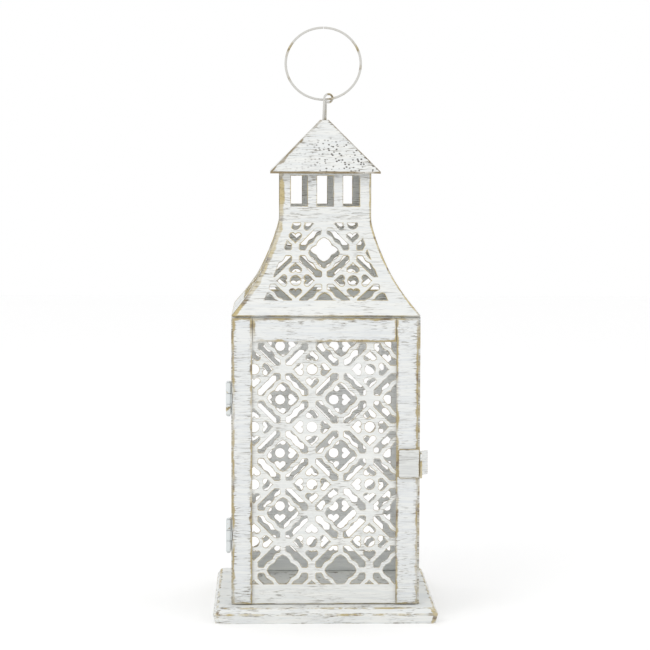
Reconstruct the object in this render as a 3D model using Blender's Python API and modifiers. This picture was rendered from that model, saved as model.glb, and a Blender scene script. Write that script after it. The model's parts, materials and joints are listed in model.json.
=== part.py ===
"""Candle lantern: a square sheet-metal body with four stamped lattice sides, a hinged door,
a flared pagoda roof with a vented neck, a pyramid cap and a hanging ring on a split-pin eye.

Frame: origin under the middle of the base, on the surface it stands on; +Z up; the door
faces -Y. All lengths are in metres.
"""
import math

import bmesh
import bpy
from mathutils import Matrix, Vector

MM = 0.001
GAP = 0.3 * MM                 # air left between touching pieces
SHEET = 1.0 * MM               # thickness of every pressed or stamped sheet
FRONT, RIGHT, REAR, LEFT = 0, 90, 180, 270   # degrees a front face is turned to reach a side

# Base tray
BASE_TOP = 10 * MM
BASE_HALF_FOOT = 70 * MM
BASE_HALF_CREASE = 71.5 * MM
BASE_HALF_TOP = 69 * MM
BASE_CREASE_Z = 6 * MM
BASE_HEM = 6 * MM              # width of the hem turned in under the skirt
BASE_CORNER = 3 * MM

# Box
BODY_HALF = 60 * MM            # outer face of the posts
BODY_FRONT = -57.4 * MM        # front face of the front posts, behind the door
POST_WIDTH = 12.4 * MM
BODY_BOTTOM = BASE_TOP + GAP
BODY_TOP = 194.3 * MM
WALL_HALF = BODY_HALF - SHEET - GAP          # outer face of the lattice sheets
SILL_HEIGHT = 8 * MM
HEADER_HEIGHT = 11 * MM

# Lattice, as stamped: half the pitch is the distance between rows of crossings
LATTICE_STEP = 18.4 * MM
LATTICE_NODE = (-8.8 * MM, 142.6 * MM)       # one crossing, across and up
REAR_NODE = (-8.3 * MM, 146.9 * MM)          # the same on the rear sheet
FIELD_BOTTOM = 23.4 * MM
FIELD_TOP = 178.6 * MM
DIAMOND_TIP = 9.6 * MM
DIAMOND_WAIST = 6.4 * MM
FLOWER_TIP = 10.2 * MM
FLOWER_WAIST = 5.0 * MM
SLOT_LENGTH = 16.4 * MM
SLOT_WIDTH = 3.8 * MM
LEAST_HOLE = 5 * MM * MM       # a clipped opening smaller than this stays solid

# Door, overlaid on the front posts
DOOR_FRONT = -60 * MM          # front face of the stiles
DOOR_LEFT = -59.2 * MM
DOOR_RIGHT = 58.5 * MM
DOOR_BOTTOM = 10.6 * MM
DOOR_TOP = 193.5 * MM
STILE_LEFT_EDGE = -46.8 * MM   # inner edges of the stiles
STILE_RIGHT_EDGE = 44.8 * MM
DOOR_SHEET_LEFT = -52.7 * MM

# Hinges
HINGE_X = -61.8 * MM
HINGE_Y = -58.3 * MM
HINGE_LENGTH = 20.4 * MM
HINGE_MIDDLES = {"upper": 142.3 * MM, "lower": 54.7 * MM}
KNUCKLE_RADIUS = 1.6 * MM
KNUCKLE_BORE = 0.95 * MM
PIN_RADIUS = 0.65 * MM
LEAF = 0.8 * MM
BODY_LEAF_REACH = 10.3 * MM    # from the pin's axis to the body leaf's end
DOOR_LEAF_CLEAR = 2.1 * MM     # from the pin's axis to where the door leaf is full height
PIN_HEAD_RADIUS = 1.25 * MM
PIN_HEAD_HEIGHT = 0.8 * MM

# Latch
LATCH_Z = 101.0 * MM
LATCH_LEFT = 46 * MM
LATCH_HEIGHT = 18.8 * MM
LATCH_BEND = (60.0 * MM, -60.8 * MM)
TAB_HEIGHT = 15.4 * MM         # level with the plate at the bottom, lower at the top
TAB_STAND_OFF = 0.5 * MM       # air between the tab and the post
TAB_FLARE_Y = -46.5 * MM       # where the tab turns out into its finger lip
TAB_TIP = (65.6 * MM, -41.6 * MM)
BEND_CHAMFER = 0.2 * MM
STRAP = 0.8 * MM
CATCH_Y = -50.5 * MM
CATCH_HOLE = 2.2 * MM
CATCH_RADIUS = 1.6 * MM
CATCH_LENGTH = 2.0 * MM

# Roof: half width and height of the sheet's outer face at each bend, from the eaves up
ROOF_PROFILE = (
    (59.8 * MM, 195.2 * MM), (49.8 * MM, 207.8 * MM), (42.4 * MM, 219.5 * MM),
    (36.6 * MM, 232 * MM), (32 * MM, 244.5 * MM), (29.5 * MM, 256 * MM), (29.5 * MM, 290.1 * MM))
HIP_GAP = 0.22 * MM
VENT_BOTTOM, VENT_TOP = 263.5 * MM, 283 * MM
VENT_WIDTH = 10.6 * MM
VENT_PITCH = 16.8 * MM
REAR_VENT_SHIFT = 2.7 * MM     # how far the rear sheet's vents sit off its middle
# The roof's lattice is laid out on the flat sheet: across, and along the sheet from the eaves
ROOF_NODE = (-19.2 * MM, 45.7 * MM)
ROOF_STEP = (18.4 * MM, 19.2 * MM)
ROOF_FIELD = ((-39.3 * MM, 12 * MM), (39.3 * MM, 12 * MM), (20.5 * MM, 65.5 * MM), (-20.5 * MM, 65.5 * MM))

# Cap
CAP_SHEET = 0.8 * MM
CAP_EAVE = 35.4 * MM
CAP_EAVE_Z = 284.5 * MM
CAP_LIP = 1.2 * MM
CAP_FLAT = 2.8 * MM
CAP_TOP = 319 * MM
CAP_HOLE = 2.05 * MM

# Hanger
EYE_TURN = math.radians(45)
EYE_WIRE = 0.7 * MM
EYE_LEG = 1.0 * MM             # from the middle to each leg's centreline
EYE_LEAN = 0.6 * MM            # how far the wire has leaned over at the loop's height
EYE_HALF = (3.9 * MM, 2.7 * MM)
EYE_CENTRE = (EYE_HALF[0] - EYE_LEG, 333.1 * MM)
EYE_SWEEP = math.radians(300)   # how much of a full loop the wire makes
EYE_TURNS = 14                 # straight pieces in the loop
EYE_FOOT_Z = 311.5 * MM
EYE_FOOT_REACH = 4.6 * MM
EYE_FOOT_RISE = 3 * MM         # height of the splayed part of each leg
EYE_FOOT_BEND = 2 * MM         # height over which the leg turns upright
EYE_LOOP_START = 3 * MM        # height of the upright legs above the cap
RING_WIRE = 0.75 * MM
RING_RADIUS = 23.35 * MM
RING_WIDEN = 1.05              # the ring is slightly wider than it is tall
RING_BOTTOM = 332.2 * MM       # centreline of the wire where it hangs in the eye
RING_MIDDLE = -0.8 * MM        # the ring's middle, across
RING_Y = EYE_CENTRE[0] * math.sin(EYE_TURN)     # through the middle of the eye

WHITEWASH = ((0.80, 0.82, 0.79), 0.62, 0.0)
WHITEWASH_COOL = ((0.74, 0.78, 0.78), 0.66, 0.0)
WORN_GOLD = ((0.55, 0.43, 0.20), 0.45, 0.6)


def clear_scene():
    for obj in list(bpy.data.objects):
        bpy.data.objects.remove(obj, do_unlink=True)


clear_scene()
parts = bpy.data.collections.new("candle_lantern")
cutters = bpy.data.collections.new("cutters")
bpy.context.scene.collection.children.link(parts)
bpy.context.scene.collection.children.link(cutters)


def finish_material(name, look):
    colour, roughness, metallic = look
    material = bpy.data.materials.new(name)
    material.use_nodes = True
    shader = material.node_tree.nodes["Principled BSDF"]
    shader.inputs["Base Color"].default_value = (*colour, 1.0)
    shader.inputs["Roughness"].default_value = roughness
    shader.inputs["Metallic"].default_value = metallic
    return material


def add_part(name, data, look, matrix=None):
    """Put a mesh or curve into the lantern's collection as one named part."""
    obj = bpy.data.objects.new(name, data)
    parts.objects.link(obj)
    data.materials.clear()
    data.materials.append(finish_material(name, look))
    if matrix is not None:
        obj.matrix_world = matrix
    return obj


def add_axis(name, location):
    """An empty on a joint's axis, for the parts that turn about it."""
    axis = bpy.data.objects.new(name, None)
    axis.location = location
    parts.objects.link(axis)
    bpy.context.view_layer.update()
    return axis


def ride_on(axis, *objects):
    bpy.context.view_layer.update()
    for obj in objects:
        obj.parent = axis
        obj.matrix_parent_inverse = axis.matrix_world.inverted()


def flat_curve(name, outlines, height):
    """A flat plate: the first outline is its edge and the others are its openings."""
    curve = bpy.data.curves.new(name, "CURVE")
    curve.dimensions = "2D"
    curve.fill_mode = "BOTH"
    curve.extrude = height / 2
    for outline in outlines:
        spline = curve.splines.new("POLY")
        spline.points.add(len(outline) - 1)
        for point, (x, y) in zip(spline.points, outline):
            point.co = (x, y, 0, 1)
        spline.use_cyclic_u = True
    return curve


def mesh_of(obj):
    """The evaluated mesh of an object, with a curve's loose caps welded on."""
    bpy.context.view_layer.update()
    evaluated = obj.evaluated_get(bpy.context.evaluated_depsgraph_get())
    mesh = bpy.data.meshes.new_from_object(evaluated)
    shell = bmesh.new()
    shell.from_mesh(mesh)
    bmesh.ops.remove_doubles(shell, verts=shell.verts, dist=0.001 * MM)
    shell.to_mesh(mesh)
    shell.free()
    return mesh


def to_mesh_part(obj):
    """Replace a curve part by the same part as a mesh, so that it can be cut."""
    mesh, matrix, name = mesh_of(obj), obj.matrix_world.copy(), obj.name
    curve = obj.data
    look = curve.materials[0]
    bpy.data.objects.remove(obj)
    bpy.data.curves.remove(curve)
    mesh.materials.clear()
    mesh.materials.append(look)
    solid = bpy.data.objects.new(name, mesh)
    parts.objects.link(solid)
    solid.matrix_world = matrix
    return solid


def add_cutter(name, mesh, matrix):
    cutter = bpy.data.objects.new(name, mesh)
    cutters.objects.link(cutter)
    cutter.matrix_world = matrix
    cutter.hide_render = True
    cutter.display_type = "WIRE"
    return cutter


def cut(obj, cutter):
    modifier = obj.modifiers.new(cutter.name, "BOOLEAN")
    modifier.operation = "DIFFERENCE"
    modifier.object = cutter
    modifier.solver = "EXACT"


def box_cutter(name, low, high):
    low, high = Vector(low), Vector(high)
    shell = bmesh.new()
    bmesh.ops.create_cube(shell, size=1.0)
    bmesh.ops.scale(shell, vec=high - low, verts=shell.verts)
    mesh = bpy.data.meshes.new(name)
    shell.to_mesh(mesh)
    shell.free()
    return add_cutter(name, mesh, Matrix.Translation((low + high) / 2))


def round_cutter(name, radius, depth, matrix, sides=12):
    shell = bmesh.new()
    bmesh.ops.create_cone(
        shell, cap_ends=True, segments=sides, radius1=radius, radius2=radius, depth=depth)
    mesh = bpy.data.meshes.new(name)
    shell.to_mesh(mesh)
    shell.free()
    return add_cutter(name, mesh, matrix)


def turned(name, profile, look, sides, matrix=None):
    """A profile of (radius, height) points, outer side downwards, turned about Z."""
    mesh = bpy.data.meshes.new(name)
    shell = bmesh.new()
    points = [shell.verts.new((radius, 0, height)) for radius, height in profile]
    for first, second in zip(points, points[1:]):
        shell.edges.new((first, second))
    shell.to_mesh(mesh)
    shell.free()
    obj = add_part(name, mesh, look, matrix)
    screw = obj.modifiers.new("turn", "SCREW")
    screw.steps = sides
    screw.render_steps = sides
    screw.use_merge_vertices = True
    screw.merge_threshold = 0.01 * MM
    return obj


def shade_round(obj, angle=40):
    obj.data.shade_smooth()
    obj.data.set_sharp_from_angle(angle=math.radians(angle))


def face_matrix(turn, distance):
    """Stand a flat part up on one side of the lantern, its middle at a distance from the axis."""
    return (Matrix.Rotation(math.radians(turn), 4, "Z") @ Matrix.Rotation(math.radians(90), 4, "X")
            @ Matrix.Translation((0, 0, distance)))


def rectangle(left, right, bottom, top):
    return [(left, bottom), (right, bottom), (right, top), (left, top)]


def area(outline):
    return sum(x0 * y1 - x1 * y0
               for (x0, y0), (x1, y1) in zip(outline, [*outline[1:], outline[0]])) / 2


def clipped(outline, field):
    """The part of an outline inside a convex field, both counter-clockwise."""
    for (ax, ay), (bx, by) in zip(field, [*field[1:], field[0]]):
        kept = []
        for (x0, y0), (x1, y1) in zip(outline, [*outline[1:], outline[0]]):
            side0 = (bx - ax) * (y0 - ay) - (by - ay) * (x0 - ax)
            side1 = (bx - ax) * (y1 - ay) - (by - ay) * (x1 - ax)
            if side0 >= 0:
                kept.append((x0, y0))
            if (side0 > 0 > side1) or (side0 < 0 < side1):
                share = side0 / (side0 - side1)
                kept.append((x0 + share * (x1 - x0), y0 + share * (y1 - y0)))
        outline = kept
        if len(outline) < 3:
            return []
    return outline


def star(tip, waist):
    """Eight points, on the axes and on the diagonals, of a scalloped diamond."""
    return [(radius * math.cos(math.radians(45 * k)), radius * math.sin(math.radians(45 * k)))
            for k, radius in enumerate((tip, waist) * 4)]


def slanted_slot(slope):
    """A slot along the diagonal that rises to the right (slope 1) or to the left (-1)."""
    turn = Matrix.Rotation(math.radians(45 * slope), 2)
    corners = rectangle(-SLOT_LENGTH / 2, SLOT_LENGTH / 2, -SLOT_WIDTH / 2, SLOT_WIDTH / 2)
    return [tuple(turn @ Vector(corner)) for corner in corners]


def lattice_openings(field, node, step):
    """Openings of the stamped lattice within a convex field.

    Crossings sit where column + row is even. Between them, even rows hold plain scalloped
    diamonds and odd rows hold flowers; a slot runs along every bar from crossing to crossing.
    """
    openings = []
    reach = range(-10, 11)
    for column in reach:
        for row in reach:
            x, y = node[0] + column * step[0], node[1] + row * step[1]
            shapes = []
            if (column + row) % 2:
                shapes.append((x, y, star(FLOWER_TIP, FLOWER_WAIST) if row % 2
                               else star(DIAMOND_TIP, DIAMOND_WAIST)))
            slope = -1 if (column + row) % 2 else 1
            shapes.append((x + step[0] / 2, y + step[1] / 2, slanted_slot(slope)))
            for middle_x, middle_y, shape in shapes:
                moved = [(middle_x + dx, middle_y + dy) for dx, dy in shape]
                opening = clipped(moved, field)
                if len(opening) > 2 and area(opening) > LEAST_HOLE:
                    openings.append(opening)
    return openings


# ---------------------------------------------------------------- base

def build_base():
    """A tray pressed from one sheet, open below, its skirt ending in a turned-in hem."""
    shell = bmesh.new()
    bmesh.ops.create_cube(shell, size=1.0)
    bmesh.ops.scale(shell, vec=(2 * BASE_HALF_CREASE, 2 * BASE_HALF_CREASE, BASE_TOP),
                    verts=shell.verts)
    bmesh.ops.translate(shell, vec=(0, 0, BASE_TOP / 2), verts=shell.verts)
    uprights = [edge for edge in shell.edges
                if abs(edge.verts[0].co.z - edge.verts[1].co.z) > BASE_TOP / 2]
    bmesh.ops.bevel(shell, geom=uprights, offset=BASE_CORNER, segments=3, profile=0.5,
                    affect="EDGES")
    bmesh.ops.bisect_plane(
        shell, geom=[*shell.verts, *shell.edges, *shell.faces], dist=0.001 * MM,
        plane_co=(0, 0, BASE_CREASE_Z), plane_no=(0, 0, 1))
    for height, half in ((0, BASE_HALF_FOOT), (BASE_TOP, BASE_HALF_TOP)):
        level = [vert for vert in shell.verts if abs(vert.co.z - height) < 0.01 * MM]
        share = half / BASE_HALF_CREASE
        bmesh.ops.scale(shell, vec=(share, share, 1), verts=level)
    underside = [face for face in shell.faces if face.normal.z < -0.9]
    rim = list(underside[0].edges)
    bmesh.ops.delete(shell, geom=underside, context="FACES_ONLY")
    hem = bmesh.ops.extrude_edge_only(shell, edges=rim)["geom"]
    share = 1 - BASE_HEM / BASE_HALF_FOOT
    bmesh.ops.scale(shell, vec=(share, share, 1),
                    verts=[item for item in hem if isinstance(item, bmesh.types.BMVert)])
    bmesh.ops.recalc_face_normals(shell, faces=shell.faces)
    mesh = bpy.data.meshes.new("base_tray")
    shell.to_mesh(mesh)
    shell.free()
    tray = add_part("base_tray", mesh, WHITEWASH)
    wall = tray.modifiers.new("sheet", "SOLIDIFY")
    wall.thickness = SHEET
    wall.offset = -1
    wall.use_even_offset = True


def build_sill():
    """A square frame of strip on the tray that the walls are fixed to from outside."""
    outer = rectangle(-WALL_HALF + SHEET + GAP, WALL_HALF - SHEET - GAP,
                      BODY_FRONT + SHEET + GAP, WALL_HALF - SHEET - GAP)
    inner = rectangle(outer[0][0] + SHEET, outer[2][0] - SHEET,
                      outer[0][1] + SHEET, outer[2][1] - SHEET)
    add_part("floor_sill", flat_curve("floor_sill", [outer, inner], SILL_HEIGHT),
             WHITEWASH_COOL, Matrix.Translation((0, 0, BODY_BOTTOM + SILL_HEIGHT / 2)))


# ---------------------------------------------------------------- box

def angle_outline(corner_x, corner_y, leg_end):
    """An L section from its outer corner, with both legs ending at the same distance out."""
    x_sign, y_sign = math.copysign(1, corner_x), math.copysign(1, corner_y)
    end_x, end_y = x_sign * leg_end, y_sign * leg_end
    inner_x, inner_y = corner_x - x_sign * SHEET, corner_y - y_sign * SHEET
    return [(corner_x, corner_y), (end_x, corner_y), (end_x, inner_y), (inner_x, inner_y),
            (inner_x, end_y), (corner_x, end_y)]


def build_posts():
    height = BODY_TOP - BODY_BOTTOM
    for side_name, side in (("left", -1), ("right", 1)):
        for end_name, y in (("front", BODY_FRONT), ("rear", BODY_HALF)):
            name = f"post_{end_name}_{side_name}"
            outline = angle_outline(side * BODY_HALF, y, BODY_HALF - POST_WIDTH)
            add_part(name, flat_curve(name, [outline], height), WHITEWASH,
                     Matrix.Translation((0, 0, BODY_BOTTOM + height / 2)))


def build_header():
    """The strip that ties the front posts behind the top of the door."""
    half = BODY_HALF - POST_WIDTH - GAP
    outline = rectangle(-half, half, BODY_TOP - HEADER_HEIGHT, BODY_TOP)
    add_part("front_header", flat_curve("front_header", [outline], SHEET), WHITEWASH_COOL,
             face_matrix(FRONT, -BODY_FRONT - SHEET / 2))


def build_walls():
    """Three lattice sheets inside the posts, each with a rail over its top margin."""
    field_half = BODY_HALF - POST_WIDTH
    field = rectangle(-field_half, field_half, FIELD_BOTTOM, FIELD_TOP)
    behind_post = BODY_FRONT + SHEET + GAP
    beside_rear = WALL_HALF - SHEET - GAP
    spans = {"right": (RIGHT, behind_post, beside_rear), "left": (LEFT, -beside_rear, -behind_post),
             "rear": (REAR, -WALL_HALF, WALL_HALF)}
    for name, (turn, low, high) in spans.items():
        sheet = rectangle(low, high, BODY_BOTTOM, BODY_TOP)
        node = REAR_NODE if name == "rear" else LATTICE_NODE
        openings = lattice_openings(field, node, (LATTICE_STEP, LATTICE_STEP))
        add_part(f"{name}_lattice", flat_curve(f"{name}_lattice", [sheet, *openings], SHEET),
                 WHITEWASH, face_matrix(turn, WALL_HALF - SHEET / 2))
        rail = rectangle(-field_half + GAP, field_half - GAP, FIELD_TOP, BODY_TOP)
        add_part(f"{name}_top_rail", flat_curve(f"{name}_top_rail", [rail], SHEET), WHITEWASH,
                 face_matrix(turn, BODY_HALF - SHEET / 2))


# ---------------------------------------------------------------- door

def build_door():
    """A lattice sheet with two stiles and a top rail laid over its edges."""
    stile_layer = -DOOR_FRONT - SHEET / 2
    sheet_layer = stile_layer - SHEET - GAP
    field = rectangle(STILE_LEFT_EDGE, STILE_RIGHT_EDGE, FIELD_BOTTOM, FIELD_TOP)
    openings = lattice_openings(field, LATTICE_NODE, (LATTICE_STEP, LATTICE_STEP))
    sheet = rectangle(DOOR_SHEET_LEFT, DOOR_RIGHT - GAP, DOOR_BOTTOM, DOOR_TOP)
    pieces = {
        "door_lattice": ([sheet, *openings], sheet_layer),
        "door_left_stile":
            ([rectangle(DOOR_LEFT, STILE_LEFT_EDGE, DOOR_BOTTOM, DOOR_TOP)], stile_layer),
        "door_right_stile":
            ([rectangle(STILE_RIGHT_EDGE, DOOR_RIGHT, DOOR_BOTTOM, DOOR_TOP)], stile_layer),
        "door_top_rail":
            ([rectangle(STILE_LEFT_EDGE + GAP, STILE_RIGHT_EDGE - GAP, FIELD_TOP, DOOR_TOP)],
             stile_layer),
    }
    return [add_part(name, flat_curve(name, outlines, SHEET), WHITEWASH, face_matrix(FRONT, layer))
            for name, (outlines, layer) in pieces.items()]


def leaf_outline(direction, near, far, reach, arc_points=14):
    """Section of a hinge leaf: a knuckle and a strip that leaves it in a direction (degrees).

    The strip lies between two offsets, measured to the left of its direction.
    """
    start = math.asin(far / KNUCKLE_RADIUS)
    stop = 2 * math.pi + math.asin(near / KNUCKLE_RADIUS)
    local = [(reach, near), (reach, far)]
    for k in range(arc_points):
        angle = start + (stop - start) * k / (arc_points - 1)
        local.append((KNUCKLE_RADIUS * math.cos(angle), KNUCKLE_RADIUS * math.sin(angle)))
    turn = Matrix.Rotation(math.radians(direction), 2)
    return [tuple(turn @ Vector(point)) for point in local]


def circle(radius, sides):
    return [(radius * math.cos(2 * math.pi * k / sides), radius * math.sin(2 * math.pi * k / sides))
            for k in range(sides)]


def build_hinge(level, middle):
    """Three knuckles on a pin: two on the body's leaf and one on the door's leaf."""
    bore = circle(KNUCKLE_BORE, 12)
    third = HINGE_LENGTH / 6
    place = Matrix.Translation((HINGE_X, HINGE_Y, middle))
    body_near = -(-BODY_HALF - GAP - HINGE_X)
    body_section = leaf_outline(90, body_near, body_near + LEAF, BODY_LEAF_REACH)
    body_name, door_name = f"{level}_hinge_body_leaf", f"{level}_hinge_door_leaf"
    body_leaf = add_part(body_name, flat_curve(body_name, [body_section, bore], HINGE_LENGTH),
                         WORN_GOLD, place)
    body_leaf = to_mesh_part(body_leaf)
    free = KNUCKLE_RADIUS + GAP
    cut(body_leaf, box_cutter(
        f"{body_name}_gap", (HINGE_X - 3 * free, HINGE_Y - 3 * free, middle - third - GAP / 2),
        (HINGE_X + 2 * free, HINGE_Y + free, middle + third + GAP / 2)))
    door_section = leaf_outline(0, -LEAF / 2, LEAF / 2, DOOR_SHEET_LEFT - GAP - HINGE_X)
    door_leaf = add_part(door_name, flat_curve(door_name, [door_section, bore], HINGE_LENGTH),
                         WORN_GOLD, place)
    door_leaf = to_mesh_part(door_leaf)
    for end, sign in (("top", 1), ("bottom", -1)):
        near_z = middle + sign * (third - GAP / 2)
        far_z = middle + sign * HINGE_LENGTH
        cut(door_leaf, box_cutter(
            f"{door_name}_{end}_gap",
            (HINGE_X - 3 * free, HINGE_Y - 3 * free, min(near_z, far_z)),
            (HINGE_X + DOOR_LEAF_CLEAR, HINGE_Y + 3 * free, max(near_z, far_z))))
    half = HINGE_LENGTH / 2 + GAP
    crown = 0.7 * PIN_HEAD_RADIUS
    upper_half = ((0, half + PIN_HEAD_HEIGHT), (crown, half + PIN_HEAD_HEIGHT),
                  (PIN_HEAD_RADIUS, half + PIN_HEAD_HEIGHT / 2), (PIN_HEAD_RADIUS, half),
                  (PIN_RADIUS, half))
    profile = (*upper_half, *((radius, -z) for radius, z in reversed(upper_half)))
    pin = turned(f"{level}_hinge_pin", profile, WORN_GOLD, 12, place)
    shade_round(pin)
    return door_leaf


# ---------------------------------------------------------------- latch

def strip_outline(path, thickness):
    """A bent strip's section: a path offset by the thickness to its right-hand side."""
    points = [Vector(point) for point in path]
    normals = []
    for first, second in zip(points, points[1:]):
        along = (second - first).normalized()
        normals.append(Vector((along.y, -along.x)))
    offset = [points[0] + normals[0] * thickness]
    for point, before, after in zip(points[1:-1], normals, normals[1:]):
        mitre = (before + after) / (1 + before.dot(after))
        offset.append(point + mitre * thickness)
    offset.append(points[-1] + normals[-1] * thickness)
    return [tuple(point) for point in [*offset, *reversed(points)]]


def build_latch():
    """One strap of spring sheet, made as its fixed plate and its flexing tab."""
    tab_z = LATCH_Z - (LATCH_HEIGHT - TAB_HEIGHT) / 2
    layer = -DOOR_FRONT + GAP + SHEET / 2
    plate_right = LATCH_BEND[0] - STRAP / 2
    outline = rectangle(LATCH_LEFT, plate_right,
                        LATCH_Z - LATCH_HEIGHT / 2, LATCH_Z + LATCH_HEIGHT / 2)
    plate = add_part("latch_plate", flat_curve("latch_plate", [outline], SHEET), WHITEWASH,
                     face_matrix(FRONT, layer))
    inner_x = BODY_HALF + TAB_STAND_OFF
    path = [(plate_right + GAP, DOOR_FRONT - GAP), (inner_x - BEND_CHAMFER, DOOR_FRONT - GAP),
            (inner_x, DOOR_FRONT), (inner_x, TAB_FLARE_Y), TAB_TIP]
    tab = add_part("latch_tab", flat_curve("latch_tab", [strip_outline(path, STRAP)], TAB_HEIGHT),
                   WHITEWASH, Matrix.Translation((0, 0, tab_z)))
    tab = to_mesh_part(tab)
    across = Matrix.Rotation(math.radians(90), 4, "Y")
    cut(tab, round_cutter("latch_tab_hole", CATCH_HOLE, 4 * STRAP,
                          Matrix.Translation((inner_x, CATCH_Y, tab_z)) @ across))
    dome = [(CATCH_RADIUS * radius, CATCH_LENGTH * height)
            for radius, height in ((0.56, 0.9), (0.88, 0.6), (1, 0.3))]
    profile = ((0, CATCH_LENGTH), *dome, (CATCH_RADIUS, 0), (0, 0))
    stud = turned("catch_stud", profile, WORN_GOLD, 12,
                  Matrix.Translation((BODY_HALF + GAP, CATCH_Y, tab_z)) @ across)
    shade_round(stud)
    return plate, tab


# ---------------------------------------------------------------- roof

def running_lengths(profile):
    lengths = [0.0]
    for (w0, z0), (w1, z1) in zip(profile, profile[1:]):
        lengths.append(lengths[-1] + math.hypot(w1 - w0, z1 - z0))
    return lengths


def bend_normals(profile):
    """At each bend, the outward offset that keeps the sheet's thickness on both sides."""
    flats = []
    for (w0, z0), (w1, z1) in zip(profile, profile[1:]):
        length = math.hypot(w1 - w0, z1 - z0)
        flats.append(Vector(((z1 - z0) / length, (w0 - w1) / length)))
    bends = [flats[0]]
    for before, after in zip(flats, flats[1:]):
        bends.append((before + after) / (1 + before.dot(after)))
    return [*bends, flats[-1]]


def roof_sheet(vent_shift):
    """One roof side: cut flat with its openings, creased at each bend, then folded to shape."""
    lengths = running_lengths(ROOF_PROFILE)
    normals = bend_normals(ROOF_PROFILE)
    right_edge = [(w - HIP_GAP, s) for (w, _), s in zip(ROOF_PROFILE, lengths)]
    left_edge = [(-x, s) for x, s in reversed(right_edge)]
    neck_foot, neck_z = lengths[-2], ROOF_PROFILE[-2][1]
    vent_middles = [vent_shift + k * VENT_PITCH for k in (-1, 0, 1)]
    vents = [rectangle(middle - VENT_WIDTH / 2, middle + VENT_WIDTH / 2,
                       neck_foot + VENT_BOTTOM - neck_z, neck_foot + VENT_TOP - neck_z)
             for middle in vent_middles]
    openings = lattice_openings(list(ROOF_FIELD), ROOF_NODE, ROOF_STEP)
    curve = flat_curve("roof_blank", [[*right_edge, *left_edge], *openings, *vents], SHEET)
    blank = bpy.data.objects.new("roof_blank", curve)
    parts.objects.link(blank)
    mesh = mesh_of(blank)
    bpy.data.objects.remove(blank)
    bpy.data.curves.remove(curve)

    shell = bmesh.new()
    shell.from_mesh(mesh)
    for crease in lengths[1:-1]:
        bmesh.ops.bisect_plane(
            shell, geom=[*shell.verts, *shell.edges, *shell.faces], dist=0.001 * MM,
            plane_co=(0, crease, 0), plane_no=(0, 1, 0))
    for vert in shell.verts:
        x, along, layer = vert.co
        band = max(k for k, s in enumerate(lengths[:-1]) if along >= s - 0.01 * MM)
        share = (along - lengths[band]) / (lengths[band + 1] - lengths[band])
        face = Vector(ROOF_PROFILE[band]).lerp(Vector(ROOF_PROFILE[band + 1]), share)
        depth = layer - SHEET / 2
        half_width, z = face + normals[band].lerp(normals[band + 1], share) * depth
        limit = half_width - HIP_GAP
        vert.co = (max(-limit, min(limit, x)), -half_width, z)
    bmesh.ops.recalc_face_normals(shell, faces=shell.faces)
    shell.to_mesh(mesh)
    shell.free()
    return mesh


def build_roof():
    for name, turn in (("roof_front", FRONT), ("roof_right", RIGHT),
                       ("roof_rear", REAR), ("roof_left", LEFT)):
        mesh = roof_sheet(REAR_VENT_SHIFT if turn == REAR else 0.0)
        add_part(name, mesh, WHITEWASH, Matrix.Rotation(math.radians(turn), 4, "Z"))


def build_cap():
    """A square pyramid of sheet over the neck, holed at its flat tip for the split pin."""
    corner = math.sqrt(2)
    profile = ((0, CAP_TOP), (CAP_FLAT, CAP_TOP), (CAP_EAVE, CAP_EAVE_Z + CAP_LIP),
               (CAP_EAVE, CAP_EAVE_Z))
    cap = turned("cap", [(r * corner, z) for r, z in profile], WHITEWASH, 4,
                 Matrix.Rotation(math.radians(45), 4, "Z"))
    wall = cap.modifiers.new("sheet", "SOLIDIFY")
    wall.thickness = CAP_SHEET
    wall.offset = -1
    wall.use_even_offset = True
    cut(cap, round_cutter("cap_pin_hole", CAP_HOLE, 10 * MM, Matrix.Translation((0, 0, CAP_TOP))))


# ---------------------------------------------------------------- hanger

def eye_path():
    """Centreline of the split pin in its own plane: foot, leg, loop, leg, foot.

    The near leg runs straight up into the side of the loop, which bulges to the other side.
    """
    half_x, half_z = EYE_HALF
    centre_x, centre_z = EYE_CENTRE
    loop = []
    for k in range(EYE_TURNS + 1):
        angle = math.pi - EYE_SWEEP * k / EYE_TURNS
        loop.append((centre_x + half_x * math.cos(angle), centre_z + half_z * math.sin(angle)))
    bend_z = EYE_FOOT_Z + EYE_FOOT_RISE
    foot = [(-EYE_FOOT_REACH, EYE_FOOT_Z), (-1.5 * EYE_LEG, bend_z), (-EYE_LEG, bend_z + EYE_FOOT_BEND)]
    near_leg = [*foot, (-EYE_LEG, CAP_TOP + EYE_LOOP_START)]
    far_leg = [(-x, z) for x, z in reversed(near_leg)]
    points = []
    for along, z in [*near_leg, *loop, *far_leg]:
        rise = max(0.0, z - CAP_TOP) / (centre_z - CAP_TOP)
        points.append((along * math.cos(EYE_TURN) + EYE_LEAN * rise, along * math.sin(EYE_TURN), z))
    return points


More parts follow.
